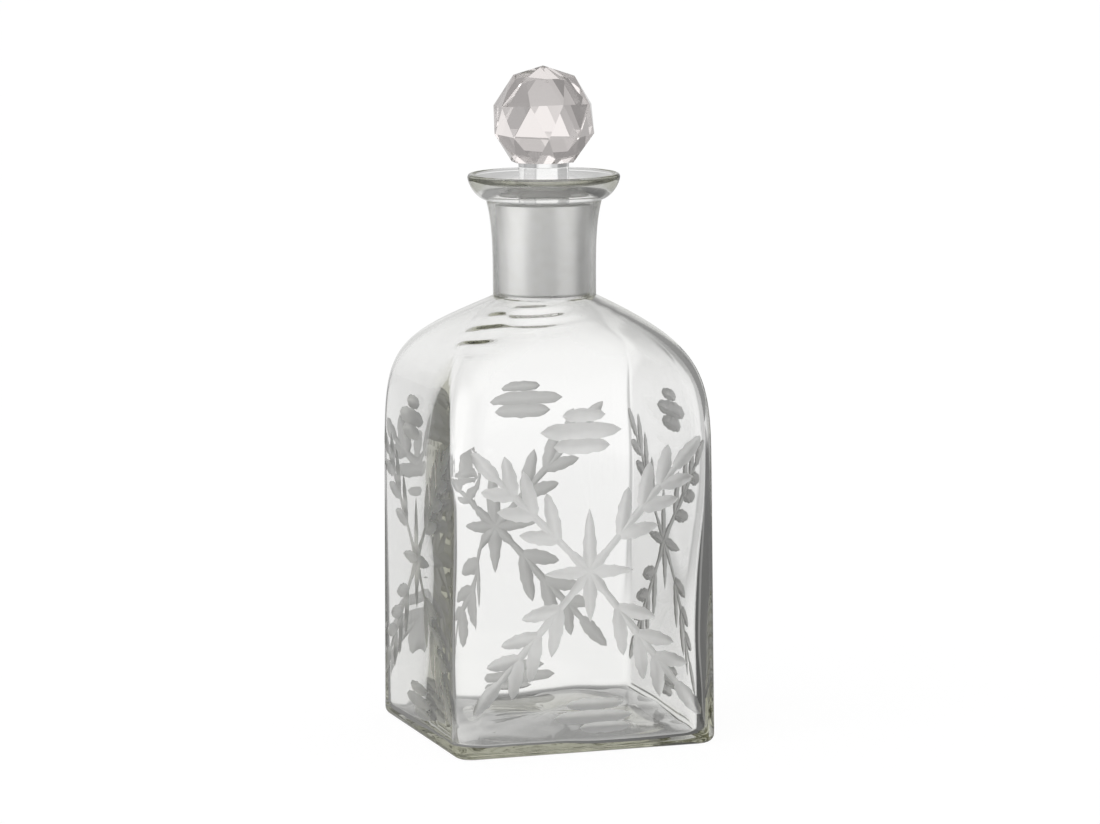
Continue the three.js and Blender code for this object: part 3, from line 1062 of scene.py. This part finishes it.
plug_ground = add_node(
    plug,
    "ShaderNodeGroup",
    node_tree=grind,
    Ground=1.0,
    Ground_Colour=PLUG_COLOUR,
    Clear_Rough=CLEAR_ROUGH,
    Ground_Rough=PLUG_ROUGH,
)
plug.links.new(plug_ground.outputs["Colour"], plug_shader.inputs["Base Color"])
plug.links.new(plug_ground.outputs["Rough"], plug_shader.inputs["Roughness"])
plug_turned = add_node(plug, "ShaderNodeVectorMath", operation="MULTIPLY")
plug_turned.inputs[1].default_value = LATHE_LINES
plug.links.new(plug.nodes.new("ShaderNodeTexCoord").outputs["Object"], plug_turned.inputs[0])
plug_lines = add_node(plug, "ShaderNodeTexNoise", Scale=1.0, Detail=LATHE_DETAIL)
plug.links.new(plug_turned.outputs[0], plug_lines.inputs["Vector"])
plug_lathed = sums(plug, "MULTIPLY", plug_lines.outputs[0], LATHE_DEPTH / SATIN_DEPTH)
plug_height = sums(plug, "ADD", plug_lathed, plug_ground.outputs["Height"])
add_bump(plug, plug_shader, plug_height, SATIN_DEPTH)
stem_glass, stem, stem_shader = new_glass("polished_stem", 1.0, GLASS_BEND)
stem_shader.inputs["Base Color"].default_value = CLEAR_COLOUR
stem_shader.inputs["Roughness"].default_value = CLEAR_ROUGH
stem_flow = add_node(stem, "ShaderNodeGroup", node_tree=flow, Scale=STEM_RIPPLE_SCALE)
add_bump(stem, stem_shader, stem_flow.outputs["Height"], BUMP_DEPTH)
peg_mesh.materials.append(plug_glass)
peg_mesh.materials.append(stem_glass)
ground_faces = PEG_ROUNDS * ground_to
peg_mesh.polygons.foreach_set("material_index", [int(k >= ground_faces) for k in range(len(peg_faces))])
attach(peg, "stopper")
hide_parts("stopper_plug")

# Ball. Solid crystal with a faint rose cast, cut with flat triangular facets in staggered rows of nine.
# It is held to the wheel by hand, so no facet is quite even. Its foot is cut flat and bonded to the stem.
BALL_RADIUS = 18.7
BALL_TURN = math.radians(17)
FACETS_ROUND = 9
FACET_ROWS = (54, 17, -16, -52)
FACET_UNEVEN = 0.6
FACET_SHAKES = (5.1, 2.3)
FACET_TWIST = 3.7
FLAT_WITHIN = math.radians(1)
BOND = 0.08
FACET_WAVE = 0.000003
FACET_WAVE_SCALE = 190.0
FACET_ROUGH = 0.04
BALL_BEND = 1.53
ROSE_CAST = (0.93, 0.88, 0.865, 1)

ball_middle = STEM_TOP - BALL_RADIUS * math.sin(math.radians(FACET_ROWS[-1]))
ball_points = [(0, 0, ball_middle + BALL_RADIUS)]
shake_round, shake_down = FACET_SHAKES
for row, latitude in enumerate(FACET_ROWS):
    level = math.radians(latitude)
    at_foot = row == len(FACET_ROWS) - 1
    height = ball_middle + BALL_RADIUS * math.sin(level) + (BOND if at_foot else 0)
    for k in range(FACETS_ROUND):
        uneven = FACET_UNEVEN * math.sin(shake_round * k + shake_down * row)
        a = BALL_TURN + (k + row / 2) * 2 * math.pi / FACETS_ROUND
        a += uneven / BALL_RADIUS * math.cos(FACET_TWIST * k - row)
        reach = (BALL_RADIUS - abs(uneven)) * math.cos(level)
        lift = 0 if at_foot else uneven
        ball_points.append((reach * math.cos(a), reach * math.sin(a), height + lift))
facets = bmesh.new()
for point in ball_points:
    facets.verts.new([c * MM for c in point])
bmesh.ops.convex_hull(facets, input=facets.verts)
bmesh.ops.dissolve_limit(facets, angle_limit=FLAT_WITHIN, verts=facets.verts, edges=facets.edges)
bmesh.ops.recalc_face_normals(facets, faces=facets.faces)
ball_mesh = bpy.data.meshes.new("faceted_ball")
facets.to_mesh(ball_mesh)
facets.free()
ball = bpy.data.objects.new("faceted_ball", ball_mesh)
bpy.context.scene.collection.objects.link(ball)
ball_glass, crystal, crystal_shader = new_glass("cut_crystal", 1.0, BALL_BEND)
crystal_shader.inputs["Base Color"].default_value = ROSE_CAST
crystal_shader.inputs["Roughness"].default_value = FACET_ROUGH
crystal_flow = add_node(crystal, "ShaderNodeGroup", node_tree=flow, Scale=FACET_WAVE_SCALE)
add_bump(crystal, crystal_shader, crystal_flow.outputs["Height"], FACET_WAVE)
ball_mesh.materials.append(ball_glass)
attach(ball, "stopper")
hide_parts("stopper_ball")
